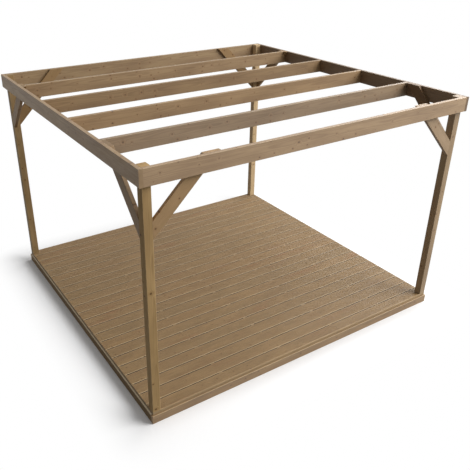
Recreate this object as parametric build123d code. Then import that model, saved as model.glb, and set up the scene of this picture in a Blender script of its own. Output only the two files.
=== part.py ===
"""Garden pergola: a box frame of timber beams and rafters on four braced posts, standing on a low deck."""
import os

from build123d import *

# Overall size, in millimetres, with X along the front, Y to the back and Z up
frame_width = 3600.0
frame_depth = 3415.0
total_height = 2400.0

# Roof beams and rafters, all sawn from one section
beam_height = 143.0
beam_thickness = 35.0

# Square posts inside the frame's corners
post_side = 76.0

# Knee braces at 45 degrees, measured down the post and along the beam
brace_reach = 598.0
brace_width = 110.0
brace_thickness = beam_thickness

# Rafters between the two side beams, counted from the front
rafter_count = 4
rafter_thickness = beam_thickness
brace_clearance = 8.0
last_bay = 588.0

# Deck
deck_board_thickness = 32.0
rim_height = 86.0
rim_thickness = 35.0
rim_inset = 22.0
joist_count = 4
left_joist_bay = 752.0
right_joist_bay = 606.0

# Rounded long edges of planed timber
arris_radius = 3.0

# Places that follow from the sizes
half_width = frame_width / 2
half_depth = frame_depth / 2
deck_top = rim_height + deck_board_thickness
beam_bottom = total_height - beam_height
post_outer_x = half_width - beam_thickness
post_outer_y = half_depth - beam_thickness
post_inner_x = post_outer_x - post_side
post_inner_y = post_outer_y - post_side
brace_inner_reach = brace_reach - brace_width * 2 ** 0.5
rim_outer_x = half_width - rim_inset
rim_outer_y = half_depth - rim_inset
first_joist_x = -rim_outer_x + rim_thickness + left_joist_bay
last_joist_x = rim_outer_x - rim_thickness - right_joist_bay - rim_thickness
joist_pitch = (last_joist_x - first_joist_x) / (joist_count - 1)
first_rafter_y = -post_inner_y + brace_reach + brace_clearance
last_rafter_y = post_outer_y - last_bay - rafter_thickness
rafter_pitch = (last_rafter_y - first_rafter_y) / (rafter_count - 1)


def timber(size_x, size_y, size_z, low_corner, along):
    """A length of timber with its four long edges rounded, placed by its lowest corner."""
    solid = Box(size_x, size_y, size_z, align=(Align.MIN, Align.MIN, Align.MIN))
    solid = fillet(solid.edges().filter_by(along), arris_radius)
    return Pos(*low_corner) * solid


def knee_brace():
    """A brace from a post face at X = 0 up to the beam tops at Z = 0, lying against the plane Y = 0."""
    outline = Polygon(
        (0, -brace_reach),
        (brace_reach, 0),
        (brace_inner_reach, 0),
        (0, -brace_inner_reach),
        align=None,
    )
    solid = extrude(Plane.XZ * outline, -brace_thickness)
    slope = Axis((0, 0, 0), (1, 0, 1))
    return fillet(solid.edges().filter_by(slope), arris_radius)


def four_posts():
    """The posts, from the deck boards up to the beam tops."""
    posts = {}
    length = total_height - deck_top
    for side, x in (("left", -post_outer_x), ("right", post_inner_x)):
        for end, y in (("front", -post_outer_y), ("back", post_inner_y)):
            corner = (x, y, deck_top)
            posts[f"post_{end}_{side}"] = timber(post_side, post_side, length, corner, Axis.Z)
    return posts


def outer_beams():
    """Two side beams over the full depth, with the front and back beams butted between them."""
    beams = {}
    for side, x in (("left", -half_width), ("right", post_outer_x)):
        corner = (x, -half_depth, beam_bottom)
        beams[f"beam_{side}"] = timber(beam_thickness, frame_depth, beam_height, corner, Axis.Y)
    between = 2 * post_outer_x
    for end, y in (("front", -half_depth), ("back", post_outer_y)):
        corner = (-post_outer_x, y, beam_bottom)
        beams[f"beam_{end}"] = timber(between, beam_thickness, beam_height, corner, Axis.X)
    return beams


def side_braces():
    """Four braces against the inner faces of the side beams."""
    turned = Rot(0, 0, 90) * knee_brace()
    front_left = Pos(-post_outer_x + brace_thickness, -post_inner_y, total_height) * turned
    front_right = mirror(front_left, about=Plane.YZ)
    return {
        "brace_side_front_left": front_left,
        "brace_side_front_right": front_right,
        "brace_side_back_left": mirror(front_left, about=Plane.XZ),
        "brace_side_back_right": mirror(front_right, about=Plane.XZ),
    }


def end_braces():
    """Four braces against the inner faces of the front and back beams."""
    front_left = Pos(-post_inner_x, -post_outer_y, total_height) * knee_brace()
    front_right = mirror(front_left, about=Plane.YZ)
    return {
        "brace_front_left": front_left,
        "brace_front_right": front_right,
        "brace_back_left": mirror(front_left, about=Plane.XZ),
        "brace_back_right": mirror(front_right, about=Plane.XZ),
    }


def rafters(braces):
    """The rafters: the first clears the front braces, and one that crosses a brace is notched over it."""
    made = {}
    length = 2 * post_outer_x
    for index in range(rafter_count):
        corner = (-post_outer_x, first_rafter_y + index * rafter_pitch, beam_bottom)
        rafter = timber(length, rafter_thickness, beam_height, corner, Axis.X)
        for brace in braces.values():
            rafter = rafter - brace
        made[f"rafter_{index + 1}"] = rafter
    return made


def deck_frame():
    """Front and back rims over the full width, side rims between them, and the joists under the boards."""
    frame = {}
    full = 2 * rim_outer_x
    inner_y = rim_outer_y - rim_thickness
    for end, y in (("front", -rim_outer_y), ("back", inner_y)):
        frame[f"deck_rim_{end}"] = timber(full, rim_thickness, rim_height, (-rim_outer_x, y, 0), Axis.X)
    for side, x in (("left", -rim_outer_x), ("right", rim_outer_x - rim_thickness)):
        frame[f"deck_rim_{side}"] = timber(rim_thickness, 2 * inner_y, rim_height, (x, -inner_y, 0), Axis.Y)
    for index in range(joist_count):
        x = first_joist_x + index * joist_pitch
        frame[f"deck_joist_{index + 1}"] = timber(rim_thickness, 2 * inner_y, rim_height, (x, -inner_y, 0), Axis.Y)
    return frame


def deck_boards():
    """The field of deck boards, in line with the posts' outer faces."""
    size = (2 * post_outer_x, 2 * post_outer_y, deck_board_thickness)
    return {"deck_boards": Pos(0, 0, rim_height) * Box(*size, align=(Align.CENTER, Align.CENTER, Align.MIN))}


side = side_braces()
pieces = {
    **four_posts(),
    **outer_beams(),
    **rafters(side),
    **end_braces(),
    **side,
    **deck_frame(),
    **deck_boards(),
}

os.makedirs("parts", exist_ok=True)
for name, solid in pieces.items():
    export_step(solid, f"parts/{name}.step")
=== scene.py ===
"""Finish of the garden pergola: its timbers, its milled deck boards, and the stage it is shown on."""

import math
import random

import bmesh
import bpy
from mathutils import Matrix, Vector


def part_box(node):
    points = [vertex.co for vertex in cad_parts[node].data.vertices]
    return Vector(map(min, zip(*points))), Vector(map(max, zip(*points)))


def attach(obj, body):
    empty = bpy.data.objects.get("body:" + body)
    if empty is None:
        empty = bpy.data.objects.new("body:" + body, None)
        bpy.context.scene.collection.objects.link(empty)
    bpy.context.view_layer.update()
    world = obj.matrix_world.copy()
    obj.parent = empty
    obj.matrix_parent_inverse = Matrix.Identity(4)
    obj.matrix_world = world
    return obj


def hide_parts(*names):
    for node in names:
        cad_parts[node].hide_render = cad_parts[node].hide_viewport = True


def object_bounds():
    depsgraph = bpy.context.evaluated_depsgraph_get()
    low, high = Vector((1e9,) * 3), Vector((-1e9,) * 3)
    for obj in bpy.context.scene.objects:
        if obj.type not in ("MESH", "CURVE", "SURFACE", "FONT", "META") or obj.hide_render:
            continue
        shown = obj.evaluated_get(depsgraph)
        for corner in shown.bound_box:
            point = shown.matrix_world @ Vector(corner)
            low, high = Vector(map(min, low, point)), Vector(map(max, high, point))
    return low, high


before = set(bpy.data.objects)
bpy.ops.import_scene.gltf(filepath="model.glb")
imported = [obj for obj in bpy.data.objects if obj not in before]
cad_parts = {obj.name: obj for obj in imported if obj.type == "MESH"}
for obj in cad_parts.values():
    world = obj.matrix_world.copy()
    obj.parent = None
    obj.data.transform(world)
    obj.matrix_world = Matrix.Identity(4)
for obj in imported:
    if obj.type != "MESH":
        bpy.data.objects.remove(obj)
cad_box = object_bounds()


# Deck frame: two rims across the front and back, two side rims between them and four joists.
# Planed softwood on edge, pressure treated to a warm brown, laid straight on the ground.
# The side rims and joists are cut square and nailed between the front and back rims.

timber_thickness = 0.035
rim_height = 0.086
rubbed_and_highlight_tone = "#D8C19A"
# Marks of the pale top edge painted on the side rims as a painted highlight.
ledge_light_start, ledge_light_full = 0.0022, 0.0006  # below a top edge


def paint(tone):
    """The colour of a hex tone as Blender's shaders take it."""
    parts = [int(tone[i:i + 2], 16) / 255 for i in (1, 3, 5)]
    return (*(p / 12.92 if p <= 0.04045 else ((p + 0.055) / 1.055) ** 2.4 for p in parts), 1.0)


def lay(tree, kind, feeds=(), **options):
    """Adds a node with its options, and feeds its inputs with values or with other nodes' outputs."""
    node = tree.nodes.new(kind)
    for option, value in options.items():
        setattr(node, option, value)
    for place, value in dict(feeds).items():
        if isinstance(value, bpy.types.NodeSocket):
            tree.links.new(value, node.inputs[place])
        else:
            node.inputs[place].default_value = value
    return node


def reckon(tree, operation, *values):
    """A Math node's result."""
    return lay(tree, "ShaderNodeMath", enumerate(values), operation=operation).outputs[0]


def reckon_place(tree, operation, *places):
    """A Vector Math node's result."""
    return lay(tree, "ShaderNodeVectorMath", enumerate(places), operation=operation).outputs[0]


def distance(tree, one, other):
    """The straight distance that two offsets at right angles make."""
    other_square = reckon(tree, "MULTIPLY", other, other)
    return reckon(tree, "SQRT", reckon(tree, "MULTIPLY_ADD", one, one, other_square))


def fade(tree, value, start, end, low=0.0, high=1.0):
    """A smooth step of a value from low to high between two marks."""
    feeds = {"Value": value, "From Min": start, "From Max": end, "To Min": low, "To Max": high}
    return lay(tree, "ShaderNodeMapRange", feeds, interpolation_type="SMOOTHSTEP").outputs["Result"]


def mottle(tree, place, scale, detail):
    """Cloudy noise around 0.5."""
    feeds = {"Vector": place, "Scale": scale, "Detail": detail}
    return lay(tree, "ShaderNodeTexNoise", feeds).outputs["Fac"]


def tint(tree, share, under, tone, blend="MIX"):
    """Lays a share of a tone over a colour."""
    feeds = {0: share, 6: under, 7: paint(tone)}
    return lay(tree, "ShaderNodeMix", feeds, data_type="RGBA", blend_type=blend).outputs[2]


def effect(name, takes, gives):
    """An empty node group with named inputs and outputs. An input without a value takes a place."""
    tree = bpy.data.node_groups.new(name, "ShaderNodeTree")
    for socket, value in takes.items():
        kind = "NodeSocketVector" if value is None else "NodeSocketFloat"
        made = tree.interface.new_socket(socket, in_out="INPUT", socket_type=kind)
        if value is not None:
            made.default_value = value
    for socket in gives:
        tree.interface.new_socket(socket, in_out="OUTPUT", socket_type="NodeSocketFloat")
    return tree, tree.nodes.new("NodeGroupInput").outputs, tree.nodes.new("NodeGroupOutput").inputs


# Growth rings, cut by the saw into long streaks on the faces and arcs on the ends.
rings, taken, given = effect(
    "growth_rings",
    {"Timber": None, "Pith Across": 0.02, "Pith Through": -0.09, "Ring Width": 0.0045, "Bend": 0.0},
    ["Latewood", "Fibre", "Tone"],
)
slow = reckon_place(rings, "MULTIPLY", taken["Timber"], (0.8, 5.0, 5.0))
drift = lay(rings, "ShaderNodeTexNoise", {"Vector": slow, "Scale": 1.0, "Detail": 2.0}).outputs["Color"]
centred = reckon_place(rings, "ADD", drift, (-0.5, -0.5, -0.5))
sway = reckon_place(rings, "MULTIPLY", centred, (0.0, 0.035, 0.035))
swayed = reckon_place(rings, "ADD", taken["Timber"], sway)
split = lay(rings, "ShaderNodeSeparateXYZ", {0: swayed}).outputs
from_pith = distance(rings, reckon(rings, "SUBTRACT", split["Y"], taken["Pith Across"]),
                     reckon(rings, "SUBTRACT", split["Z"], taken["Pith Through"]))
years = reckon(rings, "ADD", reckon(rings, "DIVIDE", from_pith, taken["Ring Width"]), taken["Bend"])
season = reckon(rings, "FRACT", years)
darkening, paling = fade(rings, season, 0.35, 0.88), fade(rings, season, 0.9, 1.0, 1.0, 0.0)
rings.links.new(reckon(rings, "MULTIPLY", darkening, paling), given["Latewood"])
fine = reckon_place(rings, "MULTIPLY", taken["Timber"], (9.0, 420.0, 420.0))
rings.links.new(mottle(rings, fine, 1.0, 3.0), given["Fibre"])
broad = reckon_place(rings, "MULTIPLY", taken["Timber"], (2.2, 11.0, 11.0))
rings.links.new(mottle(rings, broad, 1.0, 2.0), given["Tone"])

# Knots: branches that cross the timber, each a dark heart in a brown halo that turns the rings aside.
knots, taken, given = effect(
    "knots",
    {"Timber": None, "Spacing Along": 0.17, "Spacing Across": 0.06, "Size": 0.007, "Share": 0.5},
    ["Heart", "Halo", "Bend"],
)
feeds = {0: taken["Spacing Along"], 1: taken["Spacing Across"], 2: 1.0}
spacing = lay(knots, "ShaderNodeCombineXYZ", feeds).outputs[0]
cells = reckon_place(knots, "DIVIDE", taken["Timber"], spacing)
feeds = {"Vector": cells, "Scale": 1.0, "Randomness": 0.85}
branch = lay(knots, "ShaderNodeTexVoronoi", feeds, voronoi_dimensions="2D").outputs
in_cell = reckon_place(knots, "SUBTRACT", cells, branch["Position"])
offset = reckon_place(knots, "MULTIPLY", in_cell, spacing)
squeezed = reckon_place(knots, "MULTIPLY", offset, (0.8, 1.0, 0.0))
away = lay(knots, "ShaderNodeVectorMath", {0: squeezed}, operation="LENGTH").outputs["Value"]
luck = lay(knots, "ShaderNodeSeparateColor", {0: branch["Color"]}).outputs
girth = reckon(knots, "MULTIPLY", taken["Size"], reckon(knots, "ADD", luck["Red"], 0.45))
there = reckon(knots, "LESS_THAN", luck["Green"], taken["Share"])
ragged = reckon(knots, "SUBTRACT", mottle(knots, taken["Timber"], 260.0, 1.0), 0.5)
girths_away = reckon(knots, "DIVIDE", reckon(knots, "MULTIPLY_ADD", ragged, 0.003, away), girth)
knot_parts = {"Heart": (0.5, 1.05, 1.0), "Halo": (0.8, 2.6, 1.0), "Bend": (0.0, 3.6, 1.6)}
for part, (inner, outer, most) in knot_parts.items():
    strength = fade(knots, girths_away, inner, outer, most, 0.0)
    knots.links.new(reckon(knots, "MULTIPLY", strength, there), given[part])

# Worn arris: the rounded long edges, rubbed paler in handling, up to a mark across the timber. On the
# deck boards only the front edge of each board is paler, as wear and as a painted highlight.
arris, taken, given = effect(
    "worn_and_lit_arris",
    {"Timber": None, "Half Width": 0.04, "Half Thickness": 0.0175, "Wear And Highlight": 0.005, "Pale Up To": 1.0},
    ["Wear And Highlight"],
)
split = lay(arris, "ShaderNodeSeparateXYZ", {0: taken["Timber"]}).outputs
side = reckon(arris, "SUBTRACT", taken["Half Width"], reckon(arris, "ABSOLUTE", split["Y"]))
face = reckon(arris, "SUBTRACT", taken["Half Thickness"], reckon(arris, "ABSOLUTE", split["Z"]))
chips = reckon(arris, "ADD", mottle(arris, taken["Timber"], 55.0, 2.0), 0.5)
inward = reckon(arris, "DIVIDE", reckon(arris, "MAXIMUM", side, face),
                reckon(arris, "MULTIPLY", taken["Wear And Highlight"], chips))
pale_side = reckon(arris, "LESS_THAN", split["Y"], taken["Pale Up To"])
wear_and_highlight = reckon(arris, "MULTIPLY", fade(arris, inward, 0.2, 1.0, 1.0, 0.0), pale_side)
arris.links.new(wear_and_highlight, given["Wear And Highlight"])


def treated_softwood(name, pale, deep, place, half_width, half_thickness, edges=(), knot="#4A3523",
                     knot_size=0.007, turn=0.0, rubbed_and_highlight=0.22, painted_ledge_light=None, sheen=0.46, polish=0.5,
                     grime_shade_overlay=None):
    """Planed and treated softwood, from pale to deep in tone.

    Place puts the timber's own length, width and thickness on X, Y and Z; deck boards have none and
    carry their own. Edges says where and how far the long edges are paler, as wear and, on the deck
    boards' front edges, as a painted highlight. The ledge tone, if given, is painted on the top edge as
    a painted highlight. The overlay, if given, adds what lies on the wood and its painted shade.
    """
    wood = bpy.data.materials.new(name)
    wood.use_nodes = True
    tree = wood.node_tree
    skin = tree.nodes["Principled BSDF"]

    if place is None:
        timber = lay(tree, "ShaderNodeAttribute", attribute_name="sawn").outputs["Vector"]
    else:
        feeds = {"Vector": lay(tree, "ShaderNodeTexCoord").outputs["Object"],
                 "Location": place.to_translation(), "Rotation": place.to_euler()}
        timber = lay(tree, "ShaderNodeMapping", feeds).outputs["Vector"]
    branches = timber
    if turn:
        feeds = {"Vector": timber, "Rotation": (turn, 0.0, 0.0)}
        branches = lay(tree, "ShaderNodeMapping", feeds).outputs["Vector"]
    feeds = {"Timber": branches, "Size": knot_size}
    knotty = lay(tree, "ShaderNodeGroup", feeds, node_tree=knots).outputs
    feeds = {"Timber": timber, "Bend": knotty["Bend"]}
    grain = lay(tree, "ShaderNodeGroup", feeds, node_tree=rings).outputs
    feeds = {"Timber": timber, "Half Width": half_width, "Half Thickness": half_thickness, **dict(edges)}
    worn_and_lit = lay(tree, "ShaderNodeGroup", feeds, node_tree=arris).outputs["Wear And Highlight"]

    colour = tint(tree, fade(tree, grain["Tone"], 0.25, 0.75), paint(pale), deep)
    colour = tint(tree, reckon(tree, "MULTIPLY", grain["Latewood"], 0.24), colour, "#8A6A3C", "MULTIPLY")
    colour = tint(tree, fade(tree, grain["Fibre"], 0.38, 0.66, 0.0, 0.16), colour, "#6A5234")
    colour = tint(tree, reckon(tree, "MULTIPLY", knotty["Halo"], 0.3), colour, "#8C6238")
    colour = tint(tree, reckon(tree, "MULTIPLY", knotty["Heart"], 0.75), colour, knot)
    colour = tint(tree, reckon(tree, "MULTIPLY", worn_and_lit, rubbed_and_highlight), colour, rubbed_and_highlight_tone)
    # A pale top edge: a painted highlight.
    if painted_ledge_light:
        across = lay(tree, "ShaderNodeSeparateXYZ", {0: timber}).outputs["Y"]
        ledge_light = fade(tree, across, half_width - ledge_light_start, half_width - ledge_light_full)
        colour = tint(tree, ledge_light, colour, painted_ledge_light)

    gloss = fade(tree, grain["Fibre"], 0.3, 0.7, sheen, sheen + 0.16)
    gloss = reckon(tree, "SUBTRACT", gloss, reckon(tree, "MULTIPLY", knotty["Heart"], 0.1))
    if grime_shade_overlay:
        colour, gloss = grime_shade_overlay(tree, timber, grain, colour, gloss)
    tree.links.new(colour, skin.inputs["Base Color"])
    tree.links.new(gloss, skin.inputs["Roughness"])
    skin.inputs["Specular IOR Level"].default_value = polish

    relief = reckon(tree, "SUBTRACT", reckon(tree, "MULTIPLY", grain["Fibre"], 0.5),
                    reckon(tree, "MULTIPLY", grain["Latewood"], 0.35))
    relief = reckon(tree, "SUBTRACT", relief, reckon(tree, "MULTIPLY", knotty["Heart"], 0.4))
    bump = lay(tree, "ShaderNodeBump", {"Strength": 0.5, "Distance": 0.0004, "Height": relief})
    tree.links.new(bump.outputs["Normal"], skin.inputs["Normal"])
    return wood


def cut_from(log, node, along, across):
    """The place of a timber's own length, width and thickness in the log that it is sawn from."""
    shift = log.uniform(2, 60)
    low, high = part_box(node)
    along, across = Vector(along).normalized(), Vector(across).normalized()
    turned = Matrix((along, across, along.cross(across))).to_4x4()
    return Matrix.Translation((shift, 0.0, 0.0)) @ turned @ Matrix.Translation(-(low + high) / 2)


def dress(piece, wood):
    """Gives a piece its wood alone."""
    piece.data.materials.clear()
    piece.data.materials.append(wood)


end_rims = ("deck_rim_front", "deck_rim_back")
side_rims = ("deck_rim_left", "deck_rim_right")
joists = tuple(f"deck_joist_{n}" for n in range(1, 5))
log = random.Random(4)
for name in (*end_rims, *side_rims, *joists):
    if name in end_rims:
        along, pale, deep, look = (1, 0, 0), "#A1825B", "#8F724F", {"polish": 0.9}
    else:
        # Side rims and joists: darker tones as painted shade, and a pale top edge as a painted
        # highlight.
        along, pale, deep, look = (0, 1, 0), "#856E4C", "#766041", {"polish": 0.15, "painted_ledge_light": "#F4E4C6"}
    place = cut_from(log, name, along, (0, 0, 1))
    wood = treated_softwood(f"treated_{name}", pale, deep, place, rim_height / 2, timber_thickness / 2,
                            knot="#3D2C1C", rubbed_and_highlight=0.35, **look)
    dress(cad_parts[name], wood)


# Deck boards: 140 mm treated boards laid from left to right with 6.7 mm gaps, the front one ripped
# narrower. Each is milled with fine lengthwise grooves, has rounded edges, and is cut square at both
# ends. Nailed down into the rims and joists.

low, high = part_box("deck_boards")
gap_count = 22
board_width, board_gap = 0.140, 0.0067
board_pitch = board_width + board_gap
board_thickness = high.z - low.z
front_width = (high.y - low.y) - gap_count * board_pitch
first_full_y = low.y + front_width + board_gap
strip_width = 0.004
plain_strips = 3
groove_slope, groove_depth = 0.0007, 0.0022
edge_radius = 0.0038
saw_allowance = 0.02
hair = 1e-5  # points closer than this lie in one place
board_knots = "#33251A"


def pick(*pieces):
    """Selects these pieces alone, with the first of them active. Without any, selects nothing."""
    bpy.ops.object.select_all(action="DESELECT")
    for piece in pieces:
        piece.select_set(True)
    if pieces:
        bpy.context.view_layer.objects.active = pieces[0]


def pick_parts(piece, kind, wanted):
    """Selects the edges or faces of a piece that meet a test, in edit mode."""
    bpy.ops.mesh.select_mode(type=kind)
    bpy.ops.mesh.select_all(action="DESELECT")
    mesh = bmesh.from_edit_mesh(piece.data)
    for part in mesh.edges if kind == "EDGE" else mesh.faces:
        part.select = wanted(part)
    bmesh.update_edit_mesh(piece.data)


def mill_board(name, width, first_y):
    """A board with its grooves milled, its long edges rounded and its ends sawn square."""
    strips = round(width / strip_width)
    strips -= 1 - strips % 2

    def runs_across_top(edge):
        a, b = edge.verts
        return abs(a.co.y - b.co.y) > width / 2 and min(a.co.z, b.co.z) > high.z - hair

    def is_groove(face):
        number = int((face.calc_center_median().y - first_y) / (width / strips))
        return face.normal.z > 0.9 and number % 2 == 1 and plain_strips <= number < strips - plain_strips

    def is_long_edge(edge):
        a, b = edge.verts
        outer = all(min(abs(v.co.y - first_y), abs(v.co.y - first_y - width)) < hair for v in (a, b))
        return outer and abs(a.co.x - b.co.x) > 1

    pick()
    middle = ((low.x + high.x) / 2, first_y + width / 2, (low.z + high.z) / 2)
    bpy.ops.mesh.primitive_cube_add(size=1, location=middle)
    board = bpy.context.object
    board.name = name
    board.dimensions = (high.x - low.x + saw_allowance, width, board_thickness)
    bpy.ops.object.transform_apply(location=True, rotation=True, scale=True)
    bpy.ops.object.mode_set(mode="EDIT")
    pick_parts(board, "EDGE", runs_across_top)
    bpy.ops.mesh.subdivide(number_cuts=strips - 1)
    pick_parts(board, "FACE", is_groove)
    bpy.ops.mesh.inset(thickness=groove_slope, depth=-groove_depth, use_individual=True)
    pick_parts(board, "EDGE", is_long_edge)
    bpy.ops.mesh.bevel(offset=edge_radius, segments=3, affect="EDGES")
    for cut, way in ((low.x, -1), (high.x, 1)):
        bpy.ops.mesh.select_all(action="SELECT")
        bpy.ops.mesh.bisect(plane_co=(cut, 0, 0), plane_no=(way, 0, 0), use_fill=True, clear_outer=True)
    bpy.ops.mesh.select_all(action="SELECT")
    bpy.ops.mesh.remove_doubles(threshold=0.00002)
    bpy.ops.object.mode_set(mode="OBJECT")
    return board


def mark_board(board, log, first_y, width):
    """Marks each point with its place in the plank the board was sawn from, and the board's own tone."""
    marks = board.data.attributes.new("sawn", "FLOAT_VECTOR", "POINT")
    shift, tone = log.uniform(2, 90), log.uniform(0, 1)
    middle = Vector((-shift, first_y + width / 2, (low.z + high.z) / 2))
    marks.data.foreach_set("vector", [c for v in board.data.vertices for c in v.co - middle])
    tones = board.data.attributes.new("board_tone", "FLOAT", "POINT")
    tones.data.foreach_set("value", [tone] * len(board.data.vertices))


log = random.Random(11)
front_board = mill_board("deck_board_front", front_width, low.y)
mark_board(front_board, log, low.y, front_width)
full_boards = [mill_board("deck_board", board_width, first_full_y)]
for row in range(1, gap_count):
    pick(full_boards[0])
    bpy.ops.object.duplicate()
    copy = bpy.context.object
    copy.location.y = row * board_pitch
    bpy.ops.object.transform_apply(location=True, rotation=False, scale=False)
    full_boards.append(copy)
for row, board in enumerate(full_boards):
    mark_board(board, log, first_full_y + row * board_pitch, board_width)
pick(front_board, *full_boards)
bpy.ops.object.join()
decking = bpy.context.object
decking.name = "decking"
bpy.ops.object.shade_smooth_by_angle(angle=math.radians(30))

# Grime and painted shade: dirt lies in the grooves, the gaps' sides and the rear rounded edges are
# blackened as painted shade, the sawn ends are darkened as end grain and as painted shade, and the
# nosing is paler, as wear and as a painted highlight. Its marks are depths below the boards' tops, and
# distances from their middles and the deck's.
rear_edge, rear_shade_lift = 0.05, 0.0012
flank = 0.064
groove_dirt, flank_painted_shade, gap_painted_shade = (0.0008, 0.002), (0.0009, 0.002), (0.0024, 0.0036)
sawn_end, nosing = high.x - 0.0005, high.y - 0.006
nosing_wear_and_highlight = (high.y - 0.004, high.y - 0.001)
grime_and_shade_tones = {"Grooves": "#4E3D27", "Gaps": "#1A130B", "Ends": "#3A2C1A", "Nosing": rubbed_and_highlight_tone}

grime_and_shade, taken, given = effect(
    "grime_and_shade",
    {"Timber": None, "Deck": None, "Top": board_thickness / 2},
    list(grime_and_shade_tones),
)
split = lay(grime_and_shade, "ShaderNodeSeparateXYZ", {0: taken["Timber"]}).outputs
depth = reckon(grime_and_shade, "SUBTRACT", taken["Top"], split["Z"])
behind = reckon(grime_and_shade, "GREATER_THAN", split["Y"], rear_edge)
rear_shaded_depth = reckon(grime_and_shade, "MULTIPLY_ADD", behind, rear_shade_lift, depth)
on_flank = reckon(grime_and_shade, "GREATER_THAN", reckon(grime_and_shade, "ABSOLUTE", split["Y"]), flank)
# The gaps' sides below a depth, and the flanks near the rear edges, are blackened as painted shade.
painted_gap_shade = reckon(grime_and_shade, "MAXIMUM", fade(grime_and_shade, depth, *gap_painted_shade),
               reckon(grime_and_shade, "MULTIPLY", on_flank, fade(grime_and_shade, rear_shaded_depth, *flank_painted_shade)))
patches = fade(grime_and_shade, mottle(grime_and_shade, taken["Timber"], 14.0, 2.0), 0.3, 0.7, 0.25, 0.6)
fill = reckon(grime_and_shade, "MULTIPLY", fade(grime_and_shade, depth, *groove_dirt), patches)
split = lay(grime_and_shade, "ShaderNodeSeparateXYZ", {0: taken["Deck"]}).outputs
aside, before = reckon(grime_and_shade, "ABSOLUTE", split["X"]), reckon(grime_and_shade, "ABSOLUTE", split["Y"])
inside = reckon(grime_and_shade, "MULTIPLY", reckon(grime_and_shade, "LESS_THAN", aside, sawn_end),
                reckon(grime_and_shade, "LESS_THAN", before, nosing))
painted_gaps_inside = reckon(grime_and_shade, "MULTIPLY", painted_gap_shade, inside)
grime_and_shade.links.new(reckon(grime_and_shade, "MULTIPLY", fill, inside), given["Grooves"])
grime_and_shade.links.new(reckon(grime_and_shade, "MULTIPLY", painted_gaps_inside, 0.95), given["Gaps"])
# The sawn ends are darkened, as end grain and as painted shade.
ends = reckon(grime_and_shade, "GREATER_THAN", aside, sawn_end)
grime_and_shade.links.new(reckon(grime_and_shade, "MULTIPLY", ends, 0.5), given["Ends"])
# The nosing along the deck's front and back edges is paler, as wear and as a painted highlight.
grime_and_shade.links.new(fade(grime_and_shade, before, *nosing_wear_and_highlight, 0.0, 0.2), given["Nosing"])


def boards_grime_and_shade(tree, timber, grain, colour, gloss):
    """Each board's own tone, a ruddy tinge in the paler ones, the grime on them all, and painted shade
    and highlights.
    """
    own = lay(tree, "ShaderNodeAttribute", attribute_name="board_tone").outputs["Fac"]
    colour = tint(tree, reckon(tree, "MULTIPLY", own, 0.24), colour, "#7C6B4C")
    ruddy = reckon(tree, "MULTIPLY", fade(tree, grain["Tone"], 0.55, 0.7),
                   reckon(tree, "SUBTRACT", 1.0, own))
    colour = tint(tree, reckon(tree, "MULTIPLY", ruddy, 0.2), colour, "#A06C48")
    feeds = {"Timber": timber, "Deck": lay(tree, "ShaderNodeTexCoord").outputs["Object"]}
    grime_and_shade_marks = lay(tree, "ShaderNodeGroup", feeds, node_tree=grime_and_shade).outputs
    for part, tone in grime_and_shade_tones.items():
        colour = tint(tree, grime_and_shade_marks[part], colour, tone)
    return colour, reckon(tree, "MAXIMUM", gloss, grime_and_shade_marks["Gaps"])


# The deck boards' paler front edges are wear and a painted highlight; the overlay paints shade in the
# gaps.
wood = treated_softwood("treated_decking", "#977A53", "#8A6F4B", None, board_width / 2,
                        board_thickness / 2, edges={"Wear And Highlight": 0.008, "Pale Up To": rear_edge},
                        knot=board_knots, knot_size=0.005, rubbed_and_highlight=0.55, sheen=0.48, grime_shade_overlay=boards_grime_and_shade)
dress(decking, wood)
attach(decking, "root")
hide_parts("deck_boards")


# Packers: short slips of the same timber in the gaps over every joist and side rim, a push fit.
# They keep the gaps even, and end a little under the tops of the boards.

packer_drop = 0.003
packer_play = 0.0002
packer_chamfer = 0.0006
offcut_place = 7.0
unworn = 5.0  # half a size so large that no edge of the wood counts as worn
slips = []
for support in (side_rims[0], *joists, side_rims[1]):
    left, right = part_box(support)
    x_low, x_high = max(left.x, low.x), min(right.x, high.x)
    for gap in range(gap_count):
        y = low.y + front_width + gap * board_pitch + board_gap / 2
        middle = ((x_low + x_high) / 2, y, (low.z + high.z - packer_drop) / 2)
        pick()
        bpy.ops.mesh.primitive_cube_add(size=1, location=middle)
        slip = bpy.context.object
        slip.dimensions = (x_high - x_low, board_gap - packer_play, board_thickness - packer_drop)
        bpy.ops.object.transform_apply(location=True, rotation=True, scale=True)
        slips.append(slip)
pick(*slips)
bpy.ops.object.join()
packers = bpy.context.object
packers.name = "gap_packers"
bpy.ops.object.mode_set(mode="EDIT")
bpy.ops.mesh.select_all(action="SELECT")
bpy.ops.mesh.bevel(offset=packer_chamfer, segments=1, affect="EDGES")
bpy.ops.object.mode_set(mode="OBJECT")
place = Matrix.Translation((offcut_place, 0.0, 0.0))
wood = treated_softwood("treated_packers", "#987B52", "#826842", place, unworn, unworn, knot=board_knots)
dress(packers, wood)
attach(packers, "root")


# Posts: four square planed posts of treated softwood, cut square at both ends. They stand on the
# boards in the frame's corners, nailed through the beams. Their branches run askew through the
# square, so the knots show on all four faces.

post_side = 0.076
post_tones = {
    "post_front_left": ("#C0A071", "#AB8D62", 0.05),
    "post_front_right": ("#A68C69", "#937A5B", 0.65),
    # post_front_right's greyer tone is a painted reflection.
    "post_back_left": ("#A98E66", "#957C57", 0.1),
    "post_back_right": ("#DABE94", "#C4A980", 0.3),
}
log = random.Random(23)
for name, (pale, deep, polish) in post_tones.items():
    place = cut_from(log, name, (0, 0, 1), (1, 0, 0))
    wood = treated_softwood(f"treated_{name}", pale, deep, place, post_side / 2, post_side / 2,
                            turn=math.radians(45), polish=polish)
    dress(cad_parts[name], wood)


# Roof beams and rafters: 143 by 35 mm planed boards on edge. The side beams run the full depth, and
# the front and back beams and the four rafters are cut square between them and nailed through.

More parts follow.
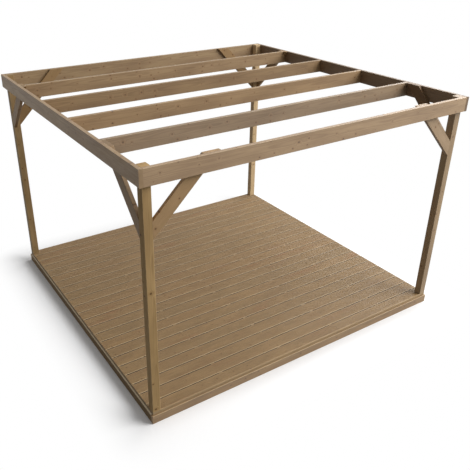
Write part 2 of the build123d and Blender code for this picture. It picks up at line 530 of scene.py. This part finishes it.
beam_height = 0.143
beam_tones = {
    "beam_front": ("#AD906D", "#997D5D", 0.8),
    "rafter_1": ("#967E61", "#856E53", 0.8),
    "rafter_2": ("#A28561", "#907453", 0.5),
    "rafter_3": ("#927754", "#826748", 0.5),
    "rafter_4": ("#9C815E", "#8B7050", 0.5),
    "beam_back": ("#9C8360", "#8B7152", 0.5),
    "beam_left": ("#AB906D", "#987D5D", 0.5),
    # beam_right's darker tone is painted shade.
    "beam_right": ("#7C6449", "#6E573F", 0.5),
}
log = random.Random(31)
for name, (pale, deep, polish) in beam_tones.items():
    along = (0, 1, 0) if name in ("beam_left", "beam_right") else (1, 0, 0)
    place = cut_from(log, name, along, (0, 0, 1))
    wood = treated_softwood(f"treated_{name}", pale, deep, place, beam_height / 2,
                            timber_thickness / 2, polish=polish)
    dress(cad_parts[name], wood)


# Knee braces: eight lengths of planed timber at 45 degrees, two to each post, against the inner faces
# of the beams. Cut plumb where they meet the post and level with the beam tops.

brace_tones = {
    "front": ("#B5946D", "#9F835D"),
    "back": ("#9D7F59", "#8B704B"),
    # brace_front_right's paler, greyer tone is a painted reflection.
    "brace_front_right": ("#B69D80", "#A38C70"),
    # brace_side_front_left's and brace_side_front_right's darker tones are painted shade.
    "brace_side_front_left": ("#957B5C", "#836C4F"),
    "brace_side_front_right": ("#7C6449", "#6E573F"),
}
log = random.Random(47)
for end, y_way in (("front", 1), ("back", -1)):
    for side, x_way in (("left", 1), ("right", -1)):
        rising = {f"brace_{end}_{side}": (x_way, 0, 1), f"brace_side_{end}_{side}": (0, y_way, 1)}
        for name, along in rising.items():
            place = cut_from(log, name, along, (along[0], along[1], -1))
            pale, deep = brace_tones.get(name, brace_tones[end])
            wood = treated_softwood(f"treated_{name}", pale, deep, place, unworn, timber_thickness / 2,
                                    polish=0.25)
            dress(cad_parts[name], wood)


# Floor: a plain white studio floor that runs out of sight and keeps the pergola's soft shadow. Half a
# metre out it is open white, and along the front rim's foot a soft shade is painted into its colour,
# faint on the left and full on the right.

white_level = 0.96
open_distance = 0.48
# Marks of the painted shade along the front rim's foot.
shade_start, shade_end, shade_depth = 0.03, 0.2, 0.14
tucked_under, clear_of_rim = -0.04, 0.02
full_shade_x, left_shade = 0.6, 0.15


def beyond(tree, value, limit):
    """How far a value lies past a limit on either side."""
    return reckon(tree, "MAXIMUM", reckon(tree, "SUBTRACT", reckon(tree, "ABSOLUTE", value), limit), 0.0)


def looked_at(tree):
    """One for what the camera sees, also in a gloss or through glass, and nought for the lighting."""
    ray = lay(tree, "ShaderNodeLightPath").outputs
    mirrored = reckon(tree, "MAXIMUM", ray["Is Glossy Ray"], ray["Is Transmission Ray"])
    return reckon(tree, "MAXIMUM", ray["Is Camera Ray"], mirrored)


pick()
bpy.ops.mesh.primitive_plane_add(size=90, location=(0, 0, 0))
floor = bpy.context.object
floor.name = "studio_floor"
white = bpy.data.materials.new("studio_white")
white.use_nodes = True
tree = white.node_tree
tree.nodes.clear()
spot = lay(tree, "ShaderNodeSeparateXYZ", {0: lay(tree, "ShaderNodeTexCoord").outputs["Object"]}).outputs
foot_low, foot_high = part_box("deck_rim_front")
ahead = reckon(tree, "SUBTRACT", foot_low.y, spot["Y"])
from_foot = distance(tree, reckon(tree, "MAXIMUM", ahead, 0.0), beyond(tree, spot["X"], foot_high.x))
narrow = reckon(tree, "MULTIPLY", fade(tree, from_foot, shade_start, shade_end, shade_depth, 0.0),
                fade(tree, ahead, tucked_under, clear_of_rim))
rightward = fade(tree, spot["X"], foot_low.x, full_shade_x, left_shade, 1.0)
painted_foot_shade = reckon(tree, "MULTIPLY", narrow, rightward)
near_floor = lay(tree, "ShaderNodeBsdfDiffuse", {"Color": reckon(tree, "SUBTRACT", white_level, painted_foot_shade)})
open_floor = lay(tree, "ShaderNodeEmission", {"Color": (1, 1, 1, 1), "Strength": 1.0})
outside = distance(tree, beyond(tree, spot["X"], cad_box[1][0]), beyond(tree, spot["Y"], cad_box[1][1]))
feeds = {0: fade(tree, outside, 0.0, open_distance), 1: near_floor.outputs[0], 2: open_floor.outputs[0]}
seen = lay(tree, "ShaderNodeMixShader", feeds)
matt = lay(tree, "ShaderNodeBsdfDiffuse", {"Color": (0.1, 0.1, 0.1, 1)})
feeds = {0: looked_at(tree), 1: matt.outputs[0], 2: seen.outputs[0]}
chosen = lay(tree, "ShaderNodeMixShader", feeds)
lay(tree, "ShaderNodeOutputMaterial", {"Surface": chosen.outputs[0]})
floor.data.materials.append(white)


# Light: a broad soft lamp high on the right of the front, a weaker one on the right, and a pale room.
# The room is white where the camera looks and much dimmer as a light.

room_light = 0.28
lamp_distance = 15.0
pergola_middle = Vector((0.0, 0.0, 1.2))

sky = bpy.data.worlds.new("studio_room")
bpy.context.scene.world = sky
sky.use_nodes = True
tree = sky.node_tree
tree.nodes.clear()
level = reckon(tree, "MULTIPLY_ADD", looked_at(tree), 1.0 - room_light, room_light)
glow = lay(tree, "ShaderNodeBackground", {"Color": (1, 1, 1, 1), "Strength": level})
lay(tree, "ShaderNodeOutputWorld", {"Surface": glow.outputs[0]})

for name, way, size, power in (
    ("key_lamp", (0.63, -0.54, 0.56), 11.5, 2620),
    ("side_lamp", (0.9, 0.2, 0.4), 14.0, 1800),
):
    lamp = bpy.data.lights.new(name, "AREA")
    lamp.shape = "DISK"
    lamp.size = size
    lamp.energy = power
    stand = bpy.data.objects.new(name, lamp)
    bpy.context.scene.collection.objects.link(stand)
    way = Vector(way).normalized()
    stand.location = pergola_middle + way * lamp_distance
    stand.rotation_euler = way.to_track_quat("Z", "Y").to_euler()


# Camera: left of the front and well above the roof, looking down across the deck. Its place, lens and
# shift are those that lay the timbers' edges where the photograph has them.

lens = bpy.data.cameras.new("camera")
lens.sensor_width = 36.0
lens.lens = 45.150
lens.shift_x = 0.06896
lens.shift_y = -0.02254
lens.clip_end = 300
camera = bpy.data.objects.new("camera", lens)
bpy.context.scene.collection.objects.link(camera)
camera.location = (-3.43922, -5.13113, 3.90114)
yaw, pitch = math.radians(32.2637), math.radians(-26.9973)
gaze = Vector((math.sin(yaw) * math.cos(pitch), math.cos(yaw) * math.cos(pitch), math.sin(pitch)))
camera.rotation_euler = gaze.to_track_quat("-Z", "Y").to_euler()
bpy.context.scene.camera = camera

scene = bpy.context.scene
scene.view_settings.view_transform = "Standard"
